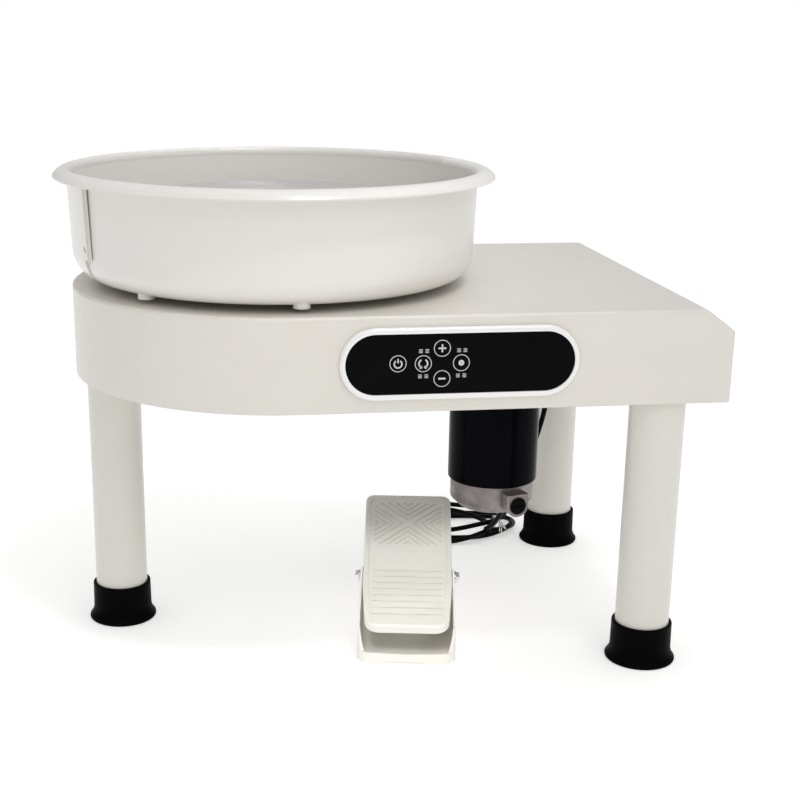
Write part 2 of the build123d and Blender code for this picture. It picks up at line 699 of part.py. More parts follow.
def seam_strip(inside, outside):
    """A section of the rear half's wall, with its faces moved in or out from the wall's outside."""
    slope = (REAR_TOP_R - REAR_FOOT_R) / (BASIN_WALL_TOP - BASIN_BOTTOM)
    low_r = REAR_FOOT_R + slope * (LAP_LOW - BASIN_BOTTOM)
    high_r = REAR_FOOT_R + slope * (LAP_HIGH - BASIN_BOTTOM)
    corners = [(low_r + inside, LAP_LOW), (low_r + outside, LAP_LOW)]
    corners += [(high_r + outside, LAP_HIGH), (high_r + inside, LAP_HIGH)]
    return Plane.XZ * make_face(Polyline(*corners, close=True))


def latch_eye(length, width, low_r, high_r):
    """A slanting bar with round ends on the lap's foot, or the slot through it."""
    bar = extrude(SlotOverall(length, width), amount=high_r - low_r)
    return Rot(0, 0, SPLIT_TURN + 1.4) * (Pos(low_r, 0, 381.0) * Rot(0, 90, 0) * Rot(0, 0, 40) * bar)


def add_seam_lap(body):
    """Carry the rear half's wall past the left seam, with a groove, a standing rib and an eye."""
    lap = sector(seam_strip(-BASIN_SKIN + 0.1, -0.1), SPLIT_TURN - 1.0, 1.0 + LAP_TURN)
    rib = sector(seam_strip(-0.8, 1.3), SPLIT_TURN + 0.5, 2.4)
    groove = sector(seam_strip(-1.1, 2.0), SPLIT_TURN - 0.5, 0.4)
    body = body + lap + rib + latch_eye(12.0, 7.6, 188.4, 192.2)
    return body - groove - latch_eye(6.6, 2.6, 186.0, 196.0)


def nub(turn):
    x, y = polar(NUB_RING, turn)
    return rod(NUB_R, NUB_BOTTOM, BASIN_BOTTOM + BASIN_FLOOR_T - 0.1, x, y)


def half_space(turn):
    """Everything on the left of a line through the spindle, less half the split gap."""
    big = 500.0
    return Rot(0, 0, turn) * (Pos(0, big / 2 + SPLIT_GAP / 2, 0) * Box(2 * big, big, 2000))


def basin_front():
    body = revolve(basin_outline(FRONT_FOOT_R, FRONT_TOP_R, FRONT_FILLET), Axis.Z)
    for turn in FRONT_NUBS:
        body = body + nub(turn)
    x, y = polar(DRAIN_RING, DRAIN_TURN)
    body = body + rod(NUB_R, NUB_BOTTOM, BASIN_BOTTOM + 1, x, y)
    body = body & half_space(SPLIT_TURN)
    body = body - rod(DRAIN_R, NUB_BOTTOM - 5, BASIN_BOTTOM + 10, x, y)
    return Pos(SPINDLE_X, 0, 0) * body


def basin_rear():
    body = revolve(basin_outline(REAR_FOOT_R, REAR_TOP_R, REAR_FILLET), Axis.Z)
    for turn in REAR_NUBS:
        body = body + nub(turn)
    body = body & half_space(SPLIT_TURN - 180)
    across = Plane(origin=(0, 0, 0), z_dir=(cos(radians(SPLIT_TURN)), sin(radians(SPLIT_TURN)), 0))
    for _ in range(2):
        body = mirror(add_seam_lap(body), about=across)
    return Pos(SPINDLE_X, 0, 0) * body


def drain_plug():
    x, y = polar(DRAIN_RING, DRAIN_TURN, SPINDLE_X)
    floor = BASIN_BOTTOM + BASIN_FLOOR_T
    stem = rod(DRAIN_R - 0.06, NUB_BOTTOM - 0.8, floor + 0.1, x, y)
    head = rod(8.0, floor + 0.1, floor + 2.6, x, y)
    pull = Pos(x, y, floor + 7.0) * Rot(90, 0, 0) * Torus(4.5, 1.3)
    return stem + head + pull


def basin_seat():
    low, high = HOUSING_TOP, BASIN_BOTTOM - 0.15
    outline = [(58, low), (74, low), (74, high - 1), (73, high), (62, high), (62, high - 3), (58, high - 3)]
    return lathe(outline, SPINDLE_X)


# ---------------------------------------------------------------- pedal


def pedal_place():
    return Pos(PEDAL_X, PEDAL_Y, 0) * Rot(0, 0, PEDAL_TURN)


def pedal_plan(inset):
    """The pedal base's outline on the floor, its front edge gently bowed."""
    half, front, rear = BASE_HALF_U - inset, BASE_FRONT_V + inset, BASE_REAR_V - inset
    sides = Polyline((half, front), (half, rear), (-half, rear), (-half, front))
    bow = ThreePointArc((-half, front), (0, front - BASE_FRONT_BOW), (half, front))
    face = make_face([*sides.edges(), bow.edge()])
    fronts = face.vertices().filter_by_position(Axis.Y, front - 1, front + 1)
    face = fillet(fronts, 12.0 - inset)
    rears = face.vertices().filter_by_position(Axis.Y, rear - 1, rear + 1)
    return fillet(rears, 8.0 - inset)


def pedal_side_cut():
    """The side view of the pedal base: low front wall, cheeks up to the pivot, low rear."""
    lug = 8.5
    front = BASE_FRONT_V - BASE_FRONT_BOW - 5
    outline = [(front, 0), (front, 11.0), (BASE_FRONT_V + 1.5, 11.5), (BASE_FRONT_V + 7, 33.0)]
    outline += [(-lug - 6, 56.0), (-lug, PIVOT_W + 1), (-lug * 0.7, PIVOT_W + lug * 0.75)]
    outline += [(0, PIVOT_W + lug), (lug * 0.7, PIVOT_W + lug * 0.75), (lug, PIVOT_W)]
    outline += [(28, 46), (60, 36), (BASE_REAR_V + 5, 32)]
    outline += [(BASE_REAR_V + 5, 0)]
    face = make_face(Polyline(*[(0, v, w) for v, w in outline], close=True))
    return extrude(face, amount=60, dir=(1, 0, 0), both=True)


def pedal_base():
    height = 80.0
    outer = Pos(0, 0, BASE_FLOOR_W) * extrude(pedal_plan(0.0), amount=height, taper=BASE_DRAFT)
    inner = Pos(0, 0, BASE_FLOOR_W + 2.5) * extrude(pedal_plan(BASE_WALL), amount=height, taper=BASE_DRAFT)
    body = (outer & pedal_side_cut()) - inner
    body = body - Pos(0, 0, PIVOT_W) * Rot(0, 90, 0) * Cylinder(PIVOT_R + 0.05, 120)
    body = body - block((-16.5, BASE_FRONT_V - 10, 0), (16.5, BASE_FRONT_V - 1.5, BASE_FLOOR_W + 1.9))
    body = body - Pos(0, BASE_REAR_V, 14) * Rot(90, 0, 0) * Cylinder(4.5, 12)
    for u, v in pad_places():
        body = body - rod(4.1, 0, BASE_FLOOR_W + 1.3, u, v)
    return pedal_place() * body


def pad_places():
    return [(su * 34.0, v) for su in (-1, 1) for v in (BASE_FRONT_V + 14, BASE_REAR_V - 16)]


def pedal_pads():
    pads = []
    for u, v in pad_places():
        pads.append(rod(7.0, 0, BASE_FLOOR_W, u, v) + rod(4.0, BASE_FLOOR_W, BASE_FLOOR_W + 1.2, u, v))
    return pedal_place() * group(pads)


def treadle_frame():
    """Place a solid drawn flat (x across, y to the toe, z off the plate) at the treadle's rest tilt."""
    return pedal_place() * Pos(0, 0, PIVOT_W) * Rot(TREADLE_TILT, 0, 0)


def treadle_plan(inset):
    half, toe, heel = TREADLE_HALF_U - inset, TREADLE_TOE - inset, TREADLE_HEEL + inset
    points = [(half + 0.2, toe), (half, 10.0), (half, -12.0), (half - 4.3, heel)]
    points += [(-x, y) for x, y in reversed(points)]
    face = make_face(Polyline(*points, close=True))
    toes = face.vertices().filter_by_position(Axis.Y, toe - 1, toe + 1)
    face = fillet(toes, 9.0 - inset * 0.5)
    heels = face.vertices().filter_by_position(Axis.Y, heel - 1, heel + 1)
    return fillet(heels, 14.0 - inset * 0.5)


def tread_cuts():
    """Four sets of nested V grooves that leave a cross between them, and the heel's cross grooves."""
    floor = TREADLE_TOP - DISH_DEPTH
    cuts = []
    for index in range(CHEVRON_COUNT):
        near = CHEVRON_FIRST + index * CHEVRON_STEP
        arm = (TREAD_FIELD - near) * sqrt(2)
        bar = Pos((arm - CHEVRON_W / 2) / 2, 0, 0) * Box(arm + CHEVRON_W / 2, CHEVRON_W, 2 * TREAD_DEPTH)
        for turn in (0, 90, 180, 270):
            for side in (45, -45):
                turned = Rot(0, 0, turn) * Pos(near, 0, 0) * Rot(0, 0, side)
                cuts.append(Pos(0, CHEVRON_V, floor) * turned * bar)
    for index in range(GROOVE_COUNT):
        v = GROOVE_FIRST_V + index * GROOVE_PITCH
        cuts.append(Pos(0, v, floor) * Box(2 * TREAD_FIELD, GROOVE_W, 2 * TREAD_DEPTH))
    return cuts


def treadle():
    """The foot plate: raised border, chevrons under the toe, cross grooves under the heel."""
    outer = Pos(0, 0, TREADLE_TOP - TREADLE_SKIRT) * extrude(treadle_plan(0.0), amount=TREADLE_SKIRT)
    rim = outer.edges().filter_by_position(Axis.Z, TREADLE_TOP - 0.1, TREADLE_TOP + 0.1)
    outer = fillet(rim, 2.2)
    depth = TREADLE_SKIRT - TREADLE_PLATE
    hollow = Pos(0, 0, TREADLE_TOP - TREADLE_SKIRT - 1) * extrude(treadle_plan(2.4), amount=depth + 1)
    dish = Pos(0, 0, TREADLE_TOP - DISH_DEPTH) * extrude(treadle_plan(5.0), amount=5)
    body = outer - hollow - dish
    for cut in tread_cuts():
        body = body - cut
    for side in (-1, 1):
        boss = Pos(side * (TREADLE_HALF_U - 4), 0, 0) * Rot(0, 90, 0) * Cylinder(5.8, 8)
        neck = Pos(side * (TREADLE_HALF_U - 4), 0, 2) * Box(8, 11.6, 4)
        body = body + boss + neck
    body = body - Rot(0, 90, 0) * Cylinder(PIVOT_R + RUNNING_GAP, 200)
    return treadle_frame() * body


def pivot_rod():
    body = Pos(0, 0, PIVOT_W) * Rot(0, 90, 0) * Cylinder(PIVOT_R, 101)
    ends = body.edges().filter_by(GeomType.CIRCLE)
    return pedal_place() * chamfer(ends, 0.6)


def cheek_u():
    """Half the base's width at the pivot's height, outside the cheeks."""
    return BASE_HALF_U - (PIVOT_W - BASE_FLOOR_W) * tan(radians(BASE_DRAFT))


def pivot_nuts():
    nuts = []
    for side in (-1, 1):
        start = cheek_u() + 1.2
        nut = extrude(RegularPolygon(5.6, 6), amount=3.2) - Cylinder(PIVOT_R, 20)
        nuts.append(Pos(side * start, 0, PIVOT_W) * Rot(0, side * 90, 0) * nut)
    return pedal_place() * group(nuts)


def pivot_washers():
    washers = []
    for side in (-1, 1):
        start = cheek_u() + 0.1
        washer = Cylinder(6.2, 1.1, align=(Align.CENTER, Align.CENTER, Align.MIN)) - Cylinder(PIVOT_R, 20)
        washers.append(Pos(side * start, 0, PIVOT_W) * Rot(0, side * 90, 0) * washer)
    return pedal_place() * group(washers)


def gear_points(teeth, first, last, offset):
    """Teeth as trapezia on a pitch circle, as (angle, radius) corners in degrees and mm."""
    pitch = GEAR_MODULE * teeth / 2
    tip, root = pitch + 0.8 * GEAR_MODULE, pitch - 1.2 * GEAR_MODULE
    step = 360 / teeth

    def half(width, radius):
        return degrees(width / 2 / radius)

    corners = []
    for index in range(first, last + 1):
        middle = offset + index * step
        corners.append((middle - half(1.9, root), root))
        corners.append((middle - half(0.72, tip), tip))
        corners.append((middle + half(0.72, tip), tip))
        corners.append((middle + half(1.9, root), root))
    return [(r * cos(radians(a)), r * sin(radians(a))) for a, r in corners]


def pinion_centre():
    distance = GEAR_MODULE * (SECTOR_TEETH + PINION_TEETH) / 2
    return distance * cos(radians(MESH_TURN)), PIVOT_W + distance * sin(radians(MESH_TURN))


def sector_gear():
    """A toothed arc under the treadle, with its arm and hub on the pivot rod."""
    teeth = gear_points(SECTOR_TEETH, -2, 6, MESH_TURN)
    start, end = MESH_TURN - 13.5, MESH_TURN + 36.0
    root = GEAR_MODULE * SECTOR_TEETH / 2 - 1.2
    inner = [polar(r, a) for a, r in ((end, root), (end, 4), (start, 4), (start, root))]
    face = make_face(Polyline(*teeth, *inner, close=True))
    gear = extrude(Plane.YZ * face, amount=6)
    gear = gear + extrude(Plane.YZ * Circle(7.0), amount=6)
    under_plate = TREADLE_TOP - TREADLE_PLATE - 0.05
    gear = gear - Rot(TREADLE_TILT, 0, 0) * (Pos(0, 0, under_plate + 20) * Box(40, 80, 40))
    gear = gear - Rot(0, 90, 0) * Cylinder(PIVOT_R + RUNNING_GAP, 60)
    return pedal_place() * Pos(20, 0, PIVOT_W) * gear


def pot_pinion():
    v, w = pinion_centre()
    teeth = gear_points(PINION_TEETH, 0, PINION_TEETH - 1, MESH_TURN + 180 + 180 / PINION_TEETH)
    gear = extrude(Plane.YZ * make_face(Polyline(*teeth, close=True)), amount=7)
    gear = gear - Rot(0, 90, 0) * Cylinder(PIVOT_R, 60)
    return pedal_place() * Pos(19.5, v, w) * gear


def pot_shaft():
    v, w = pinion_centre()
    bar = Cylinder(PIVOT_R, 24, align=(Align.CENTER, Align.CENTER, Align.MIN))
    return pedal_place() * Pos(16.0, v, w) * Rot(0, 90, 0) * bar


def potentiometer():
    """The speed sensor: a round body on an upright bracket screwed to the pedal's floor."""
    v, w = pinion_centre()
    can = Pos(29.0, v, w) * Rot(0, 90, 0) * Cylinder(8.5, 9, align=(Align.CENTER, Align.CENTER, Align.MIN))
    upright = block((27.4, v - 10, BASE_FLOOR_W + 2.5), (29.0, v + 10, w + 10))
    foot_plate = block((27.4, v - 10, BASE_FLOOR_W + 2.5), (40.0, v + 10, BASE_FLOOR_W + 4.1))
    body = can + upright + foot_plate
    hole = Cylinder(PIVOT_R + RUNNING_GAP, 24.2, align=(Align.CENTER, Align.CENTER, Align.MIN))
    return pedal_place() * (body - Pos(16, v, w) * Rot(0, 90, 0) * hole)


def pedal_gland():
    start = BASE_REAR_V - 0.1
    outline = [(0, start - 4), (4.4, start - 4), (4.4, start + 0.1), (6.5, start + 0.1)]
    outline += [(6.5, start + 2.5), (5.2, start + 4), (4.0, start + 22), (0, start + 22)]
    face = make_face(Polyline(*[(r, v, 0) for r, v in outline], close=True))
    return pedal_place() * Pos(0, 0, 14) * revolve(face, Axis.Y)


# ---------------------------------------------------------------- cord


def cord_boot():
    top = BASE_PLATE_Z
    outline = [(0, top + 7), (4.9, top + 7), (4.9, top), (8.0, top), (8.0, top - 3), (6.2, top - 5),
               (4.2, top - BOOT_L), (0, top - BOOT_L)]
    return lathe(outline, BOOT_X, BOOT_Y)


DROP_ROUTE = [
    (BOOT_X, BOOT_Y, BASE_PLATE_Z - BOOT_L),
    (202.0, 60.0, 194.0),
    (198.5, 65.0, 154.0),
    (190.0, 79.0, 113.0),
    (182.0, 99.0, 78.0),
    (175.0, 124.0, 46.0),
    (170.0, 149.0, 22.0),
    (164.0, 171.0, 9.0),
]

PEDAL_ROUTE = [
    (50.3, 40.2, 14.0),
    (53.6, 58.2, 12.2),
    (56.0, 78.0, 6.6),
    (57.0, 100.0, 3.0),
    (60.0, 124.0, 3.1),
    (68.0, 146.0, 3.2),
    (90.0, 170.0, 4.4),
]


def cord_tube(points):
    """A round tube along straight runs joined by the largest arcs that the runs allow."""
    corners = [Vector(*p) for p in points]
    radii = []
    for before, at, after in zip(corners, corners[1:], corners[2:]):
        run_in, run_out = at - before, after - at
        turn = radians(run_in.get_angle(run_out))
        radii.append(0.45 * min(run_in.length, run_out.length) / tan(turn / 2))
    print("cord radii", [round(r, 1) for r in radii])
    path = FilletPolyline(*corners, radius=radii)
    start = Plane(origin=corners[0], z_dir=corners[1] - corners[0])
    tube = sweep(start * Circle(CORD_D / 2), path=path.wire())
    print("cord volume over section times length", tube.volume / (pi * CORD_D**2 / 4 * path.wire().length))
    return tube


def cord_coil():
    """The outer shape of the loose oval coil that lies behind the pedal."""
    outer = Ellipse(COIL_A, COIL_B)
    inner = Ellipse(COIL_A * 0.5, COIL_B * 0.36)
    return Pos(COIL_X, COIL_Y, 0) * extrude(outer - inner, amount=COIL_H)


def cord_tie():
    """A twisted wire tie round the coil's strands near its right end."""
    return Pos(COIL_X + 64, COIL_Y - 4, COIL_H + 1.6) * Rot(0, 90, 0) * Torus(4.0, 1.1)


# ---------------------------------------------------------------- assembly


def build():
    PARTS.update({
        "housing_shell": housing_shell(),
        "base_plate": base_plate(),
        "base_plate_screws": base_plate_screws(),
        "leg_bolts": leg_bolts(),
        "bearing_housing": bearing_housing(),
        "bearing_upper": bearing(UPPER_BEARING_Z),
        "bearing_lower": bearing(LOWER_BEARING_Z),
        "spindle_seal": spindle_seal(),
        "bearing_housing_bolts": flange_bolts(),
        "wheel_head": wheel_head(),
        "wheel_head_screws": head_screws(),
        "spindle": spindle(),
        "driven_pulley": pulley(DRIVEN_R, 22.0, SPINDLE_R, SPINDLE_X, 6),
        "driven_pulley_collar": pulley_collar(),
        "drive_belt": drive_belt(),
        "drive_pulley": pulley(DRIVE_R, 0.0, SHAFT_R, MOTOR_X, 0),
        "motor_shaft": motor_shaft(),
        "motor_armature": motor_armature(),
        "motor_can": motor_can(),
        "motor_drive_bell": motor_drive_bell(),
        "motor_end_bell": motor_end_bell(),
        "motor_brush_caps": motor_brush_caps(),
        "motor_brushes": motor_brushes(),
        "motor_magnets": motor_magnets(),
        "motor_bearings": motor_bearings(),
        "motor_mount_screws": motor_screws(),
        "panel_bezel": panel_bezel(),
        "panel_glass": panel_glass(),
        "control_board": control_board(),
        "control_board_standoffs": board_standoffs(),
        "driver_board": driver_board(),
        "driver_board_standoffs": driver_standoffs(),
        "mains_inlet": mains_inlet(),
        "mains_inlet_pins": inlet_pins(),
        "basin_seat_ring": basin_seat(),
        "basin_front_half": basin_front(),
        "basin_rear_half": basin_rear(),
        "drain_plug": drain_plug(),
        "pedal_base": pedal_base(),
        "pedal_pads": pedal_pads(),
        "pedal_treadle": treadle(),
        "pedal_pivot_rod": pivot_rod(),
        "pedal_pivot_nuts": pivot_nuts(),
        "pedal_pivot_washers": pivot_washers(),
        "pedal_sector_gear": sector_gear(),
        "pedal_pot_pinion": pot_pinion(),
        "pedal_pot_shaft": pot_shaft(),
        "pedal_potentiometer": potentiometer(),
        "pedal_cord_gland": pedal_gland(),
        "cord_boot": cord_boot(),
        "pedal_cord_drop": cord_tube(DROP_ROUTE),
        "pedal_cord_lead": cord_tube(PEDAL_ROUTE),
        "pedal_cord_coil": cord_coil(),
        "pedal_cord_tie": cord_tie(),
    })
    for name, (x, y) in LEG_PLACES.items():
        PARTS["leg_" + name] = leg(x, y)
        PARTS["foot_" + name] = foot(x, y)


def write():
    os.makedirs("parts", exist_ok=True)
    for name, shape in PARTS.items():
        export_step(shape, "parts/" + name + ".step")
        print(name, len(shape.solids()), "solids", round(shape.volume / 1000, 2), "cm3")


build()
write()
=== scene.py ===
from math import cos, hypot, pi, radians, sin

import bmesh
import bpy
from mathutils import Matrix, Vector


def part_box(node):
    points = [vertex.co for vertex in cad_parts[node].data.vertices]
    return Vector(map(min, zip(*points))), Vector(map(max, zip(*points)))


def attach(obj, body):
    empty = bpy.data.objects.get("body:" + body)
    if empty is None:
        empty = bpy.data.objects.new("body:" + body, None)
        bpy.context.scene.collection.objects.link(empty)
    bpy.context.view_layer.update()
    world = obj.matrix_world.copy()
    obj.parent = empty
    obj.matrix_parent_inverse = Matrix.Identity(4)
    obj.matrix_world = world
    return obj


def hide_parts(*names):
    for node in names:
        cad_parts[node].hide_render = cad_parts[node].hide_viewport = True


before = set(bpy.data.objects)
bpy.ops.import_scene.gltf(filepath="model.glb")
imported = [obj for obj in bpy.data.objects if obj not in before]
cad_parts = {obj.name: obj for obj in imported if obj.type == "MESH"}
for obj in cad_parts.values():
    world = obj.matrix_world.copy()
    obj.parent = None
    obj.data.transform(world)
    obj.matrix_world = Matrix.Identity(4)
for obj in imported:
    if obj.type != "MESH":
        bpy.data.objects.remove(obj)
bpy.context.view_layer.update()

# Looks for a belt-driven pottery wheel: camera, light, floor, the pedal's cord with its boot and
# its wire tie, the marks on the panel, and a material for every piece. Metres, in the frame of
# the CAD model, unless a comment says millimetres.

MM = 0.001
CORD_D = 5.6 * MM
WIRE_D = 1.6 * MM
SKY_FILL = 0.52  # strength of the sky as fill light
WHITE = (1.0, 1.0, 1.0, 1.0)


def centre_of(node):
    low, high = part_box(node)
    return (low + high) / 2


SPINDLE = centre_of("wheel_head")


# ---------------------------------------------------------------- camera and light


CAMERA_PLACE = (-0.21146, -1.3372, 0.58085)
CAMERA_YAW, CAMERA_PITCH, CAMERA_ROLL = 0.15214, 0.29355, -0.01105  # radians, pitch downward


def make_camera():
    """A look at the panel side from a little to the left and from above."""
    data = bpy.data.cameras.new("camera")
    data.sensor_width = 36.0
    data.lens = 63.65
    data.shift_x = 0.04875
    data.shift_y = 0.054
    data.clip_start = 0.05
    data.clip_end = 60.0
    yaw, pitch, roll = CAMERA_YAW, CAMERA_PITCH, CAMERA_ROLL
    ahead = Vector((sin(yaw) * cos(pitch), cos(yaw) * cos(pitch), -sin(pitch)))
    level = Vector((cos(yaw), -sin(yaw), 0.0))
    down = ahead.cross(level)
    right = level * cos(roll) + down * sin(roll)
    up = level * sin(roll) - down * cos(roll)
    turn = Matrix((right, up, -ahead)).transposed()
    camera = bpy.data.objects.new("camera", data)
    camera.matrix_world = Matrix.Translation(CAMERA_PLACE) @ turn.to_4x4()
    bpy.context.scene.collection.objects.link(camera)
    bpy.context.scene.camera = camera


def hang_light(name, data, place, target):
    light = bpy.data.objects.new(name, data)
    light.location = place
    light.rotation_euler = (Vector(target) - Vector(place)).to_track_quat("-Z", "Y").to_euler()
    bpy.context.scene.collection.objects.link(light)
    return light


def area_light(name, place, target, size, power):
    data = bpy.data.lights.new(name, "AREA")
    data.shape = "RECTANGLE"
    data.size, data.size_y = size
    data.energy = power
    return hang_light(name, data, place, target)


def soft_spot(name, place, target, spread, power, softness):
    """A soft-edged round pool of light; spread is its whole angle in degrees."""
    data = bpy.data.lights.new(name, "SPOT")
    data.energy = power
    data.spot_size = radians(spread)
    data.spot_blend = 0.7
    data.shadow_soft_size = softness
    return hang_light(name, data, place, target)


def make_world():
    """White to the camera, an even grey as fill light, and paler upward in reflections."""
    world = bpy.data.worlds.new("studio")
    bpy.context.scene.world = world
    world.use_nodes = True
    tree = world.node_tree
    tree.nodes.clear()
    grounds = []
    for strength in (SKY_FILL, 1.0, 1.0):
        ground = tree.nodes.new("ShaderNodeBackground")
        ground.inputs["Color"].default_value = WHITE
        ground.inputs["Strength"].default_value = strength
        grounds.append(ground)
    fill, gloss, backdrop = grounds
    way = tree.nodes.new("ShaderNodeTexCoord")
    height = tree.nodes.new("ShaderNodeSeparateXYZ")
    tree.links.new(way.outputs["Generated"], height.inputs[0])
    grade = tree.nodes.new("ShaderNodeValToRGB")
    low_sky, high_sky = grade.color_ramp.elements
    low_sky.position, low_sky.color = 0.05, (0.50, 0.50, 0.50, 1.0)
    high_sky.position, high_sky.color = 0.85, (0.90, 0.90, 0.92, 1.0)
    tree.links.new(height.outputs["Z"], grade.inputs["Fac"])
    tree.links.new(grade.outputs["Color"], gloss.inputs["Color"])
    ray = tree.nodes.new("ShaderNodeLightPath")
    seen = fill.outputs[0]
    for kind, ground in (("Is Glossy Ray", gloss), ("Is Camera Ray", backdrop)):
        mix = tree.nodes.new("ShaderNodeMixShader")
        tree.links.new(ray.outputs[kind], mix.inputs["Fac"])
        tree.links.new(seen, mix.inputs[1])
        tree.links.new(ground.outputs[0], mix.inputs[2])
        seen = mix.outputs[0]
    out = tree.nodes.new("ShaderNodeOutputWorld")
    tree.links.new(seen, out.inputs["Surface"])


def make_lights():
    """Two broad lights, a soft pool on the basin, and one that falls on the pedal alone."""
    middle = (0.0, 0.0, 0.3)
    area_light("overhead", (0.5, 0.1, 2.0), middle, (1.4, 1.4), 5.4)
    area_light("front_top", (0.3, -1.6, 1.7), middle, (1.4, 1.0), 6.0)
    basin = SPINDLE + Vector((0.03, 0.0, 0.05))
    soft_spot("basin_spot", (0.30, -0.75, 2.2), basin, 16.5, 86.0, 0.3)
    pedal = centre_of("pedal_treadle") + Vector((0.0, -0.05, 0.0))
    pedal_light = soft_spot("pedal_spot", (-0.30, -1.15, 1.15), pedal, 15.0, 70.0, 0.22)
    lit = bpy.data.collections.new("pedal_light_falls_on")
    for node in ("pedal_treadle", "pedal_base"):
        lit.objects.link(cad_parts[node])
    pedal_light.light_linking.receiver_collection = lit


def make_floor():
    """White paper that glows a little, and more so away from the middle."""
    mesh = bpy.data.meshes.new("floor")
    half = 9.0
    corners = [(-half, -half, 0.0), (half, -half, 0.0), (half, half, 0.0), (-half, half, 0.0)]
    mesh.from_pydata(corners, [], [(0, 1, 2, 3)])
    floor = bpy.data.objects.new("floor", mesh)
    bpy.context.scene.collection.objects.link(floor)
    paper = Surface("floor_paper", (0.93, 0.93, 0.925), 0.9, Specular_IOR_Level=0.2)
    paper.tone((0.90, 0.90, 0.895), 3.0, 0.35, 0.65, 0.5)
    glow = paper.span(paper.radius((0.0, 0.0, 0.0)), 0.5, 1.6, 0.43, 0.52)
    paper.shader.inputs["Emission Color"].default_value = WHITE
    paper.tree.links.new(glow, paper.shader.inputs["Emission Strength"])
    paper.done([floor])


def make_studio():
    make_world()
    make_lights()
    view = bpy.context.scene.view_settings
    view.view_transform = "Standard"
    view.look = "None"
    make_floor()


# ---------------------------------------------------------------- materials


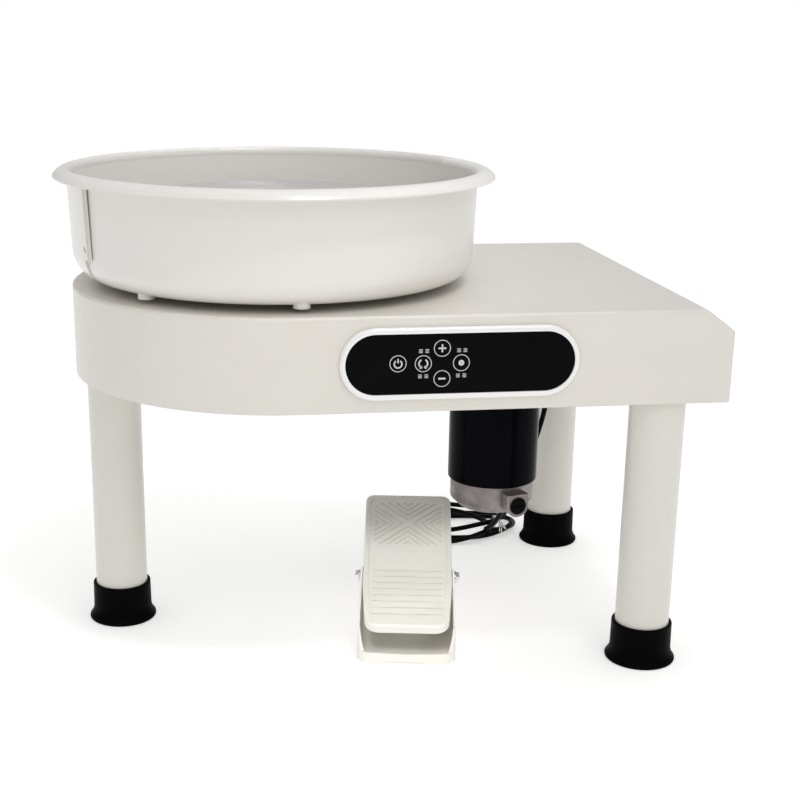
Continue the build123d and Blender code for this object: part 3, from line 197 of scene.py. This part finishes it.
class Surface:
    """A node material, built up from layers of tone, roughness and relief over one shader."""

    def __init__(self, name, colour, roughness, metallic=0.0, **sockets):
        self.material = bpy.data.materials.new(name)
        self.material.use_nodes = True
        self.tree = self.material.node_tree
        self.shader = self.tree.nodes["Principled BSDF"]
        self.shader.inputs["Base Color"].default_value = (*colour, 1.0)
        self.shader.inputs["Roughness"].default_value = roughness
        self.shader.inputs["Metallic"].default_value = metallic
        for key, value in sockets.items():
            self.shader.inputs[key.replace("_", " ")].default_value = value
        self.places = self.tree.nodes.new("ShaderNodeTexCoord").outputs["Object"]
        self.colour = self.roughness = self.normal = None
        self.base = (*colour, 1.0)

    def add(self, kind, links=(), **values):
        """A node with attribute values, and (socket, value or output) pairs."""
        node = self.tree.nodes.new("ShaderNode" + kind)
        for key, value in values.items():
            setattr(node, key, value)
        for socket, value in links:
            if isinstance(value, bpy.types.NodeSocket):
                self.tree.links.new(value, node.inputs[socket])
            else:
                node.inputs[socket].default_value = value
        return node

    def noise(self, scale, detail=3.0, stretch=None, rough=0.5):
        """Noise of about 1 / scale metres, stretched along the axes if asked."""
        where = self.places
        if stretch:
            where = self.add("Mapping", [("Vector", where), ("Scale", stretch)]).outputs[0]
        links = [("Vector", where), ("Scale", scale), ("Detail", detail), ("Roughness", rough)]
        return self.add("TexNoise", links).outputs["Fac"]

    def span(self, value, low, high, to_low=0.0, to_high=1.0):
        """Bring the range from low to high onto the range from to_low to to_high."""
        links = [("Value", value), ("From Min", low), ("From Max", high)]
        links += [("To Min", to_low), ("To Max", to_high)]
        return self.add("MapRange", links).outputs["Result"]

    def radius(self, centre):
        """Distance from an upright axis through centre."""
        offset = self.add("VectorMath", [(0, self.places), (1, centre)], operation="SUBTRACT")
        links = [(0, offset.outputs[0]), (1, (1, 1, 0))]
        flat = self.add("VectorMath", links, operation="MULTIPLY")
        return self.add("VectorMath", [(0, flat.outputs[0])], operation="LENGTH").outputs["Value"]

    def lathe_lines(self, centre, scale):
        """Turning marks: noise that changes with the radius alone."""
        links = [("W", self.radius(centre)), ("Scale", scale), ("Detail", 2.0)]
        return self.add("TexNoise", links, noise_dimensions="1D").outputs["Fac"]

    def creases(self, reach):
        """One in the open, falling to nought down in grooves and corners."""
        node = self.add("AmbientOcclusion", [("Distance", reach)], samples=6, only_local=False)
        return node.outputs["AO"]

    def edges(self, reach):
        """Nought on flat and gently curved faces, rising on hard edges."""
        soft = self.add("Bevel", [("Radius", reach)], samples=4)
        true = self.add("NewGeometry")
        links = [(0, soft.outputs[0]), (1, true.outputs["Normal"])]
        match = self.add("VectorMath", links, operation="DOT_PRODUCT").outputs["Value"]
        flat, hard = 0.99, 0.80
        return self.span(match, flat, hard)

    def blend(self, factor, tint):
        """Lay a tint over the colour so far, by a factor from 0 to 1."""
        node = self.add("Mix", [("Factor", factor)], data_type="RGBA")
        under = node.inputs[6]
        if self.colour:
            self.tree.links.new(self.colour, under)
        else:
            under.default_value = self.base
        node.inputs[7].default_value = (*tint, 1.0)
        self.colour = node.outputs[2]

    def tone(self, tint, scale, low, high, amount, **more):
        """Patches of a tint where noise rises from low to high."""
        self.blend(self.span(self.noise(scale, **more), low, high, 0.0, amount), tint)

    def painted_crease_shade(self, tint, reach, amount):
        """Painted shade: a darker tint laid into grooves and corners, as far as the occlusion
        reaches.
        """
        self.blend(self.span(self.creases(reach), 1.0, 0.35, 0.0, amount), tint)

    def edge_wear_and_highlight(self, tint, reach, amount):
        """A patchy tint along hard edges: worn edges on the castings, and a painted highlight on
        the enamel.
        """
        patchy = self.span(self.noise(180.0), 0.35, 0.65, 0.3, 1.0)
        links = [(0, self.edges(reach)), (1, patchy)]
        edge_tint_mask = self.add("Math", links, operation="MULTIPLY").outputs[0]
        self.blend(self.span(edge_tint_mask, 0.0, 1.0, 0.0, amount), tint)

    def gloss(self, scale, low, high, **more):
        """Roughness that wanders between low and high."""
        self.roughness = self.span(self.noise(scale, **more), 0.3, 0.7, low, high)

    def relief(self, height, depth):
        """Shade as if raised by a height from 0 to 1, depth metres tall."""
        links = [("Height", height), ("Distance", depth), ("Strength", 1.0)]
        if self.normal:
            links.append(("Normal", self.normal))
        self.normal = self.add("Bump", links).outputs[0]

    def grain(self, scale, depth, **more):
        self.relief(self.noise(scale, **more), depth)

    def soften(self, reach):
        """Round off hard edges in the shading."""
        self.normal = self.add("Bevel", [("Radius", reach)], samples=4).outputs[0]

    def done(self, objects=()):
        if self.colour:
            self.tree.links.new(self.colour, self.shader.inputs["Base Color"])
        if self.roughness:
            self.tree.links.new(self.roughness, self.shader.inputs["Roughness"])
        if self.normal:
            self.tree.links.new(self.normal, self.shader.inputs["Normal"])
        for thing in objects:
            thing.data.materials.clear()
            thing.data.materials.append(self.material)
        return self.material


def enamel():
    s = Surface("ivory_enamel", (0.772, 0.742, 0.684), 0.36, Coat_Weight=0.25, Coat_Roughness=0.22)
    s.soften(1.2 * MM)
    s.tone((0.740, 0.712, 0.656), 7.0, 0.35, 0.7, 0.55)
    s.tone((0.790, 0.768, 0.718), 26.0, 0.45, 0.75, 0.4)
    s.tone((0.60, 0.57, 0.51), 2400.0, 0.70, 0.80, 0.35, detail=1.0)
    # Painted highlight: a lighter tint along the hard edges.
    s.edge_wear_and_highlight((0.83, 0.81, 0.76), 0.9 * MM, 0.35)
    # Painted shade: darker in grooves and corners.
    s.painted_crease_shade((0.62, 0.57, 0.48), 4.0 * MM, 0.4)
    s.gloss(90.0, 0.31, 0.42)
    s.grain(16.0, 0.10 * MM, detail=1.0)
    s.grain(640.0, 0.012 * MM, detail=2.0)
    return s.done()


def basin_plastic():
    s = Surface("basin_plastic", (0.825, 0.800, 0.768), 0.32, Coat_Weight=0.35, Coat_Roughness=0.12)
    s.tone((0.812, 0.786, 0.750), 6.0, 0.35, 0.7, 0.5)
    s.tone((0.66, 0.62, 0.54), 1700.0, 0.74, 0.82, 0.20, detail=1.0)
    # Painted shade: darker in grooves and corners, such as the seams.
    s.painted_crease_shade((0.56, 0.51, 0.43), 3.0 * MM, 0.4)
    # Painted shade: a broad darkening wherever other surfaces lie within 16 mm, as under the rim
    # and low inside the basin.
    s.painted_crease_shade((0.60, 0.54, 0.46), 16.0 * MM, 0.15)
    s.gloss(60.0, 0.29, 0.36)
    s.grain(20.0, 0.08 * MM, detail=1.0)
    s.grain(1500.0, 0.003 * MM)
    return s.done()


def pedal_plastic():
    s = Surface("pedal_plastic", (0.860, 0.840, 0.785), 0.36)
    s.soften(0.35 * MM)
    s.tone((0.835, 0.812, 0.750), 18.0, 0.35, 0.7, 0.5)
    s.tone((0.66, 0.62, 0.54), 1500.0, 0.72, 0.80, 0.25, detail=1.0)
    # Painted shade: darker down in the treadle's grooves and corners.
    s.painted_crease_shade((0.56, 0.52, 0.42), 2.0 * MM, 0.35)
    s.gloss(120.0, 0.31, 0.43)
    s.grain(1300.0, 0.014 * MM, detail=2.0)
    return s.done()


def bezel_plastic():
    s = Surface("bezel_plastic", (0.90, 0.895, 0.88), 0.16, Coat_Weight=0.5, Coat_Roughness=0.06)
    # Painted shade: a dark shadow line round the bezel's edges and corners.
    s.painted_crease_shade((0.45, 0.43, 0.40), 2.0 * MM, 0.6)
    s.gloss(140.0, 0.12, 0.22)
    s.grain(900.0, 0.003 * MM)
    return s.done()


def panel_black():
    s = Surface("panel_black", (0.0014, 0.0014, 0.0018), 0.10, Specular_IOR_Level=0.04)
    s.tone((0.0030, 0.0030, 0.0036), 14.0, 0.45, 0.75, 0.5)
    s.tone((0.012, 0.012, 0.012), 2600.0, 0.74, 0.80, 0.3, detail=1.0)
    s.gloss(35.0, 0.07, 0.17)
    s.grain(12.0, 0.02 * MM, detail=1.0)
    return s.done()


def rubber(name, shade):
    s = Surface(name, (shade, shade, shade * 1.08), 0.45, Specular_IOR_Level=0.02)
    s.soften(0.5 * MM)
    s.tone((shade * 1.7, shade * 1.7, shade * 1.8), 28.0, 0.45, 0.75, 0.6)
    s.tone((0.016, 0.0155, 0.015), 1100.0, 0.73, 0.82, 0.3, detail=2.0)
    s.gloss(46.0, 0.36, 0.54)
    s.grain(36.0, 0.10 * MM, detail=2.0)
    s.grain(1500.0, 0.012 * MM)
    return s.done()


def motor_enamel():
    gleam = {"Specular_IOR_Level": 0.02, "Coat_Weight": 0.02, "Coat_Roughness": 0.05}
    s = Surface("motor_enamel", (0.0012, 0.0011, 0.0024), 0.16, **gleam)
    s.soften(0.4 * MM)
    s.tone((0.0030, 0.0028, 0.0048), 30.0, 0.4, 0.75, 0.7)
    s.tone((0.020, 0.020, 0.022), 2000.0, 0.75, 0.82, 0.3, detail=1.0)
    s.gloss(55.0, 0.12, 0.20)
    s.grain(26.0, 0.14 * MM, detail=1.0, stretch=(1.0, 1.0, 0.2))
    s.grain(420.0, 0.010 * MM)
    return s.done()


def cast_aluminium():
    s = Surface("cast_aluminium", (0.34, 0.305, 0.303), 0.46, 0.85)
    s.soften(0.5 * MM)
    s.tone((0.22, 0.195, 0.188), 60.0, 0.4, 0.7, 0.7)
    s.tone((0.15, 0.135, 0.13), 700.0, 0.62, 0.8, 0.5)
    s.edge_wear_and_highlight((0.78, 0.77, 0.76), 1.2 * MM, 0.9)
    # Painted shade: dark in hollows and corners.
    s.painted_crease_shade((0.08, 0.07, 0.065), 4.0 * MM, 0.6)
    s.gloss(160.0, 0.38, 0.62)
    s.grain(130.0, 0.14 * MM)
    s.grain(620.0, 0.05 * MM)
    return s.done()


def turned_aluminium():
    s = Surface("turned_aluminium", (0.60, 0.59, 0.58), 0.42, 0.9)
    s.soften(0.3 * MM)
    s.tone((0.55, 0.545, 0.53), 12.0, 0.35, 0.7, 0.6)
    s.blend(s.span(s.lathe_lines(SPINDLE, 2600.0), 0.45, 0.75, 0.0, 0.5), (0.46, 0.455, 0.445))
    # Painted shade: darker in grooves and corners.
    s.painted_crease_shade((0.15, 0.14, 0.13), 2.0 * MM, 0.6)
    s.roughness = s.span(s.lathe_lines(SPINDLE, 900.0), 0.3, 0.7, 0.34, 0.52)
    s.relief(s.lathe_lines(SPINDLE, 3400.0), 0.010 * MM)
    s.grain(300.0, 0.006 * MM)
    return s.done()


def bright_metal(name, colour, rough):
    scale = 420.0
    s = Surface(name, colour, rough, 1.0)
    s.soften(0.2 * MM)
    s.tone(tuple(c * 0.72 for c in colour), scale * 0.2, 0.4, 0.72, 0.6)
    s.tone(tuple(c * 0.5 for c in colour), scale * 3.0, 0.66, 0.8, 0.4)
    # Painted shade: darker in grooves and corners.
    s.painted_crease_shade((0.05, 0.045, 0.04), 1.5 * MM, 0.4)
    s.gloss(scale, rough * 0.85, rough * 1.2)
    s.grain(scale * 2.0, 0.006 * MM)
    return s.done()


def cast_iron():
    s = Surface("cast_iron", (0.085, 0.085, 0.09), 0.55, 0.6)
    s.soften(0.5 * MM)
    s.tone((0.14, 0.13, 0.12), 70.0, 0.4, 0.7, 0.7)
    s.edge_wear_and_highlight((0.35, 0.34, 0.33), 1.0 * MM, 0.7)
    s.gloss(200.0, 0.42, 0.66)
    s.grain(260.0, 0.10 * MM)
    return s.done()


def moulded(name, colour, rough, speck=0.10, shine=0.5):
    s = Surface(name, colour, rough, Specular_IOR_Level=shine)
    s.soften(0.3 * MM)
    s.tone(tuple(min(1.0, c * 1.9 + 0.002) for c in colour), 80.0, 0.45, 0.75, 0.5)
    s.tone((speck, speck, speck), 1500.0, 0.73, 0.80, 0.4, detail=1.0)
    # Painted shade: darker in grooves and corners.
    s.painted_crease_shade(tuple(c * 0.4 for c in colour), 2.0 * MM, 0.5)
    s.gloss(240.0, rough * 0.85, rough * 1.25)
    s.grain(1400.0, 0.012 * MM)
    return s.done()


def cord_sheath():
    s = Surface("cord_sheath", (0.0022, 0.0022, 0.0028), 0.36, Specular_IOR_Level=0.06)
    s.tone((0.0080, 0.0080, 0.0086), 55.0, 0.45, 0.75, 0.6)
    s.tone((0.030, 0.030, 0.030), 1900.0, 0.74, 0.82, 0.35, detail=1.0)
    s.gloss(130.0, 0.30, 0.44)
    s.grain(90.0, 0.08 * MM)
    s.grain(1600.0, 0.010 * MM)
    return s.done()


def circuit_board():
    s = Surface("circuit_board", (0.012, 0.075, 0.030), 0.32)
    tracks = s.add("TexBrick", [("Vector", s.places), ("Scale", 150.0)], offset=0.35)
    s.blend(s.span(tracks.outputs["Fac"], 0.0, 1.0, 0.0, 0.6), (0.05, 0.16, 0.07))
    s.tone((0.006, 0.05, 0.02), 90.0, 0.4, 0.7, 0.5)
    s.gloss(200.0, 0.29, 0.4)
    s.relief(tracks.outputs["Fac"], 0.03 * MM)
    return s.done()


def paint_frame():
    """Give every CAD node its finished material, by the record's slot names."""
    looks = {
        "housing_enamel": enamel(),
        "basin_plastic": basin_plastic(),
        "pedal_plastic": pedal_plastic(),
        "bezel_plastic": bezel_plastic(),
        "panel_black": panel_black(),
        "foot_rubber": rubber("foot_rubber_black", 0.0018),
        "belt_rubber": rubber("belt_rubber_black", 0.0060),
        "motor_enamel": motor_enamel(),
        "cast_aluminium": cast_aluminium(),
        "head_aluminium": turned_aluminium(),
        "zinc_plate": bright_metal("zinc_plate_clear", (0.64, 0.635, 0.61), 0.34),
        "bearing_steel": bright_metal("bearing_steel_ground", (0.60, 0.60, 0.60), 0.22),
        "pivot_chrome": bright_metal("pivot_chrome_plate", (0.84, 0.84, 0.86), 0.14),
        "armature_steel": bright_metal("armature_laminations", (0.36, 0.35, 0.34), 0.40),
        "pot_metal": bright_metal("pot_metal_plated", (0.55, 0.53, 0.46), 0.36),
        "tie_wire": bright_metal("tie_wire_tinned", (0.80, 0.80, 0.78), 0.22),
        "cast_iron": cast_iron(),
        "black_moulding": moulded("black_nylon", (0.0030, 0.0030, 0.0034), 0.38, 0.02, 0.05),
        "carbon": moulded("brush_carbon", (0.018, 0.018, 0.019), 0.6, 0.04, 0.2),
        "ferrite": moulded("magnet_ferrite", (0.045, 0.044, 0.046), 0.62),
        "gear_plastic": moulded("gear_acetal", (0.70, 0.69, 0.66), 0.36, 0.5),
        "cord_black": cord_sheath(),
        "circuit_board": circuit_board(),
    }
    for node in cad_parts.values():
        for slot in node.material_slots:
            slot.material = looks[slot.material.name.split(".")[0]]
    return looks


# ---------------------------------------------------------------- mesh helpers


SHARP_ANGLE = radians(35.0)
LATHE_STEPS = 64
ON_AXIS = 1e-7


def make_piece(name, mesh, material):
    """A finished piece on the frame body, smooth but for its sharp edges."""
    mesh.shade_smooth()
    mesh.set_sharp_from_angle(angle=SHARP_ANGLE)
    mesh.materials.append(material)
    piece = bpy.data.objects.new(name, mesh)
    bpy.context.scene.collection.objects.link(piece)
    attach(piece, "frame")
    return piece


def lathe_mesh(name, outline, place):
    """Turn (radius, height) points about Z, then put the result in place."""
    shape = bmesh.new()
    rings = []
    for radius, height in outline:
        if radius < ON_AXIS:
            rings.append([shape.verts.new((0.0, 0.0, height))])
            continue
        turns = [2 * pi * k / LATHE_STEPS for k in range(LATHE_STEPS)]
        rings.append([shape.verts.new((radius * cos(a), radius * sin(a), height)) for a in turns])
    for low, high in zip(rings, rings[1:]):
        for k in range(LATHE_STEPS):
            a, b = low[k % len(low)], low[(k + 1) % len(low)]
            c, d = high[(k + 1) % len(high)], high[k % len(high)]
            corners = list(dict.fromkeys((a, b, c, d)))
            if len(corners) > 2:
                shape.faces.new(corners)
    bmesh.ops.recalc_face_normals(shape, faces=shape.faces)
    shape.transform(place)
    mesh = bpy.data.meshes.new(name)
    shape.to_mesh(mesh)
    shape.free()
    return mesh


# ---------------------------------------------------------------- pedal cord


# From the boot under the table down to the coil, in millimetres
DROP_ROUTE = [
    (202.0, 60.0, 228.5),
    (201.5, 60.5, 194.0),
    (194.5, 67.0, 154.0),
    (185.0, 82.0, 113.0),
    (179.0, 102.0, 78.0),
    (174.0, 126.0, 46.0),
    (170.0, 149.0, 22.0),
    (164.0, 171.0, 9.0),
]

# From the pedal's gland back to the coil, in millimetres
PEDAL_ROUTE = [
    (50.3, 40.2, 14.0),
    (53.6, 58.2, 12.2),
    (56.0, 78.0, 6.6),
    (57.0, 100.0, 3.0),
    (60.0, 124.0, 3.1),
    (68.0, 146.0, 3.2),
    (90.0, 170.0, 4.4),
]

# Each loose turn of the coil: middle x and y, half length and half width, in millimetres
COIL_TURNS = [
    (146.0, 214.0, 66.0, 36.0),
    (141.0, 207.0, 70.0, 44.0),
    (122.0, 186.0, 54.0, 34.0),
    (140.0, 222.0, 63.0, 46.0),
]
COIL_START = radians(-50.0)
TURN_POINTS = 18
POINTS_LEFT_OUT = 4  # at the end of the last turn, where the lead to the pedal leaves it

# How the cord lies on itself, in millimetres or in diameters
FLOOR_GAP = 0.15
CROSSING = 0.8  # runs closer than this many diameters in plan lie on one another
LAYER = 0.98  # diameters from a run's middle to the middle of the one it lies on
NEAREST_RUN = 3  # runs fewer points apart than this are one bend, not a crossing
STEEPEST = 2.6  # the most that it rises from one point to the next


def coil_plan():
    """Points round each loose turn in plan, easing from one turn's shape into the next."""
    turns = [*COIL_TURNS, COIL_TURNS[-1]]
    points = []
    for index in range(TURN_POINTS * len(COIL_TURNS) - POINTS_LEFT_OUT):
        turn, share = divmod(index / TURN_POINTS, 1.0)
        now, after = turns[int(turn)], turns[int(turn) + 1]
        x, y, a, b = (p + (q - p) * share for p, q in zip(now, after))
        angle = COIL_START + 2 * pi * share
        points.append((x + a * cos(angle), y + b * sin(angle)))
    return points


def gap_between(p, q, r, s):
    """Least distance in plan between two short runs, tried at a few places along each."""
    shares = (0.0, 0.25, 0.5, 0.75, 1.0)
    ones = [(p[0] + (q[0] - p[0]) * t, p[1] + (q[1] - p[1]) * t) for t in shares]
    others = [(r[0] + (s[0] - r[0]) * t, r[1] + (s[1] - r[1]) * t) for t in shares]
    return min(hypot(a[0] - b[0], a[1] - b[1]) for a in ones for b in others)


def laid_down(plan, diameter):
    """Give each point a height, so that every run rests on the floor or on earlier runs."""
    rest = diameter / 2 + FLOOR_GAP
    heights = [rest] * len(plan)
    for i in range(1, len(plan) - 1):
        for j in range(0, i - NEAREST_RUN):
            if gap_between(plan[i], plan[i + 1], plan[j], plan[j + 1]) < CROSSING * diameter:
                above = max(heights[j], heights[j + 1]) + LAYER * diameter
                heights[i] = max(heights[i], above)
                heights[i + 1] = max(heights[i + 1], above)
    for order in (range(1, len(plan)), range(len(plan) - 2, -1, -1)):
        for i in order:
            other = i - 1 if order.step > 0 else i + 1
            heights[i] = max(heights[i], heights[other] - STEEPEST)
    return [(x, y, z) for (x, y), z in zip(plan, heights)]


def round_line(name, route, diameter, material, smoothness, sides):
    """A round length along a smooth curve that follows these places, in millimetres."""
    data = bpy.data.curves.new(name, "CURVE")
    data.dimensions = "3D"
    line = data.splines.new("NURBS")
    line.points.add(len(route) - 1)
    for point, place in zip(line.points, route):
        point.co = (*(v * MM for v in place), 1.0)
    line.order_u = 3
    line.use_endpoint_u = True
    line.resolution_u = smoothness
    data.bevel_depth = diameter / 2
    data.bevel_resolution = sides
    data.use_fill_caps = True
    data.materials.append(material)
    piece = bpy.data.objects.new(name, data)
    bpy.context.scene.collection.objects.link(piece)
    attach(piece, "frame")
    return piece


def make_cord(looks):
    coil = laid_down(coil_plan(), CORD_D / MM)
    route = [*DROP_ROUTE, *coil, *reversed(PEDAL_ROUTE)]
    cord = round_line("pedal_cord", route, CORD_D, looks["cord_black"], 8, 5)
    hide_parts("pedal_cord_drop", "pedal_cord_coil", "pedal_cord_lead")
    return cord


def make_boot(looks):
    """The ribbed strain relief under the table, round the cord's exit."""
    low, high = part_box("cord_boot")
    flange, ribs = 8.0 * MM, 6
    top = high.z - 7.0 * MM
    outline = [(0.0, high.z), (4.8 * MM, high.z), (4.8 * MM, top), (flange - 0.5 * MM, top)]
    outline += [(flange, top - 0.5 * MM), (flange, top - 2.6 * MM)]
    outline += [(flange - 0.6 * MM, top - 3.2 * MM)]
    start, end = top - 4.6 * MM, low.z + 1.2 * MM
    step = (end - start) / ribs
    for index in range(ribs):
        z = start + (end - start) * index / ribs
        wide = (6.3 - 1.9 * index / ribs) * MM
        slim, eased = wide - 1.0 * MM, wide - 0.2 * MM
        outline += [(slim, z), (eased, z + 0.22 * step), (wide, z + 0.32 * step)]
        outline += [(wide, z + 0.62 * step), (eased, z + 0.72 * step), (slim, z + 0.92 * step)]
    outline += [(4.1 * MM, end), (4.1 * MM, low.z + 0.4 * MM), (3.7 * MM, low.z), (0.0, low.z)]
    middle = (low + high) / 2
    mesh = lathe_mesh("cord_boot_ribbed", outline, Matrix.Translation((middle.x, middle.y, 0.0)))
    boot = make_piece("cord_boot_ribbed", mesh, looks["black_moulding"])
    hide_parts("cord_boot")
    return boot


def wire(name, route, looks):
    """A bent length of tinned wire."""
    return round_line(name, route, WIRE_D, looks["tie_wire"], 12, 3)


def make_tie(looks):
    """A thin tinned wire wound over the turns near one end, its two tails twisted together."""
    x, y, z = 182.0, 185.5, 10.0
    across, tall, advance, start = 16.5, 8.7, 4.5, -2.4
    wraps, wrap_points = 2, 16
    loop = []
    for k in range(wraps * wrap_points + 1):
        angle = 2 * pi * k / wrap_points + start
        along = advance * k / (wraps * wrap_points)
        loop.append((x + along, y + across * cos(angle), z + tall * sin(angle)))
    ring = wire("cord_tie_wire", loop, looks)
    twist, tail_points, twist_points = 1.1, 15, 5
    tails = []
    for suffix, side in (("_b", 0), ("_a", pi)):
        points = []
        for k in range(tail_points):
            angle = side + 2 * pi * k / twist_points
            points.append((
                x + 2.0 + 0.45 * k + twist * cos(angle),
                y - 7.5 - 0.75 * k + twist * sin(angle),
                19.5 - 0.60 * k,
            ))
        tails.append(wire("cord_tie_tail" + suffix, points, looks))
    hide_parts("pedal_cord_tie")
    return [ring, *tails]


# ---------------------------------------------------------------- panel marks


class Marks:
    """Flat printed shapes in the panel's plane, in millimetres from the panel's middle."""

    def __init__(self, middle, front, thick):
        self.shape = bmesh.new()
        self.middle, self.front, self.thick = middle, front, thick

    def plate(self, outline):
        """A thin plate with this outline, anticlockwise as seen from the front."""
        layers = []
        for y in (self.front, self.front - self.thick):
            row = []
            for x, z in outline:
                place = (self.middle.x + x * MM, y, self.middle.z + z * MM)
                row.append(self.shape.verts.new(place))
            layers.append(row)
        back, face = layers
        count = len(outline)
        self.shape.faces.new(face)
        self.shape.faces.new(list(reversed(back)))
        for k in range(count):
            n = (k + 1) % count
            self.shape.faces.new((face[k], back[k], back[n], face[n]))

    def arc(self, x, z, outer, inner, start, end, steps=48):
        """A stroke bent round a centre, from start to end in degrees, open or a whole ring."""
        sweep = end - start
        closed = sweep == 360
        count = max(6, int(steps * sweep / 360.0))
        turns = [radians(start + sweep * k / count) for k in range(count + (0 if closed else 1))]
        rings = []
        for y in (self.front - self.thick, self.front):
            for radius in (outer, inner):
                row = []
                for a in turns:
                    px, pz = x + radius * cos(a), z + radius * sin(a)
                    place = (self.middle.x + px * MM, y, self.middle.z + pz * MM)
                    row.append(self.shape.verts.new(place))
                rings.append(row)
        fo, fi, bo, bi = rings
        last = len(turns) if closed else len(turns) - 1
        for k in range(last):
            n = (k + 1) % len(turns)
            self.shape.faces.new((fo[k], fo[n], fi[n], fi[k]))
            self.shape.faces.new((bo[n], bo[k], bi[k], bi[n]))
            self.shape.faces.new((fo[n], fo[k], bo[k], bo[n]))
            self.shape.faces.new((fi[k], fi[n], bi[n], bi[k]))
        if not closed:
            self.shape.faces.new((fo[0], fi[0], bi[0], bo[0]))
            self.shape.faces.new((fi[-1], fo[-1], bo[-1], bi[-1]))

    def bar(self, x, z, wide, tall, round_off=0.35):
        """A bar with rounded corners."""
        outline = []
        for sx, sz, start in ((1, 1, 0), (-1, 1, 90), (-1, -1, 180), (1, -1, 270)):
            cx, cz = x + sx * (wide / 2 - round_off), z + sz * (tall / 2 - round_off)
            for k in range(4):
                a = radians(start + 30 * k)
                outline.append((cx + round_off * cos(a), cz + round_off * sin(a)))
        self.plate(outline)

    def disc(self, x, z, radius):
        steps = 32
        turns = [2 * pi * k / steps for k in range(steps)]
        self.plate([(x + radius * cos(a), z + radius * sin(a)) for a in turns])

    def button(self, x, z):
        self.arc(x, z, 7.3, 6.65, 0, 360, steps=72)

    def label(self, x, z):
        """Two stacks of three plain dashes, where the real panel has lettering."""
        aside, apart = 2.75, 1.25
        for side in (-1, 1):
            for row in (-1, 0, 1):
                self.bar(x + side * aside, z + row * apart, 3.3, 0.6, 0.25)


def make_panel_marks():
    """Five ringed buttons: power, direction, faster, slower and a dot."""
    low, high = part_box("panel_glass")
    marks = Marks((low + high) / 2, low.y - 0.02 * MM, 0.14 * MM)
    power, turn, dot = (-54.6, 0.7), (-32.9, 0.2), (0.0, 0.2)
    plus, minus = (-16.8, 13.2), (-16.5, -13.2)
    for place in (power, turn, plus, minus, dot):
        marks.button(*place)
    x, z = power
    marks.arc(x, z - 0.4, 3.9, 2.7, 125, 415)
    marks.bar(x, z + 2.3, 1.2, 3.8)
    x, z = turn
    for side, start, end in ((-1, 118, 238), (1, -58, 62)):
        marks.arc(x, z, 4.4, 3.0, start, end)
        marks.disc(x + side * 2.1, z - 3.1, 1.35)
    x, z = plus
    marks.bar(x, z, 7.0, 1.4)
    marks.bar(x, z + 2.15, 1.4, 2.7)
    marks.bar(x, z - 2.15, 1.4, 2.7)
    marks.bar(*minus, 6.3, 1.6)
    marks.arc(*dot, 2.5, 0.4, 0, 360)
    for x, z in (turn, dot):
        marks.label(x + 0.4, z + 10.9)
        marks.label(x + 0.1, z - 11.0)
    mesh = bpy.data.meshes.new("panel_marks")
    bmesh.ops.recalc_face_normals(marks.shape, faces=marks.shape.faces)
    marks.shape.to_mesh(mesh)
    marks.shape.free()
    ink = Surface("panel_ink", (0.66, 0.66, 0.65), 0.4)
    ink.tone((0.50, 0.50, 0.49), 700.0, 0.4, 0.7, 0.6)
    ink.grain(2500.0, 0.01 * MM)
    make_piece("panel_marks", mesh, ink.done())


# ---------------------------------------------------------------- scene


make_camera()
make_studio()
looks = paint_frame()
cord = make_cord(looks)
boot = make_boot(looks)
tie = make_tie(looks)
make_panel_marks()
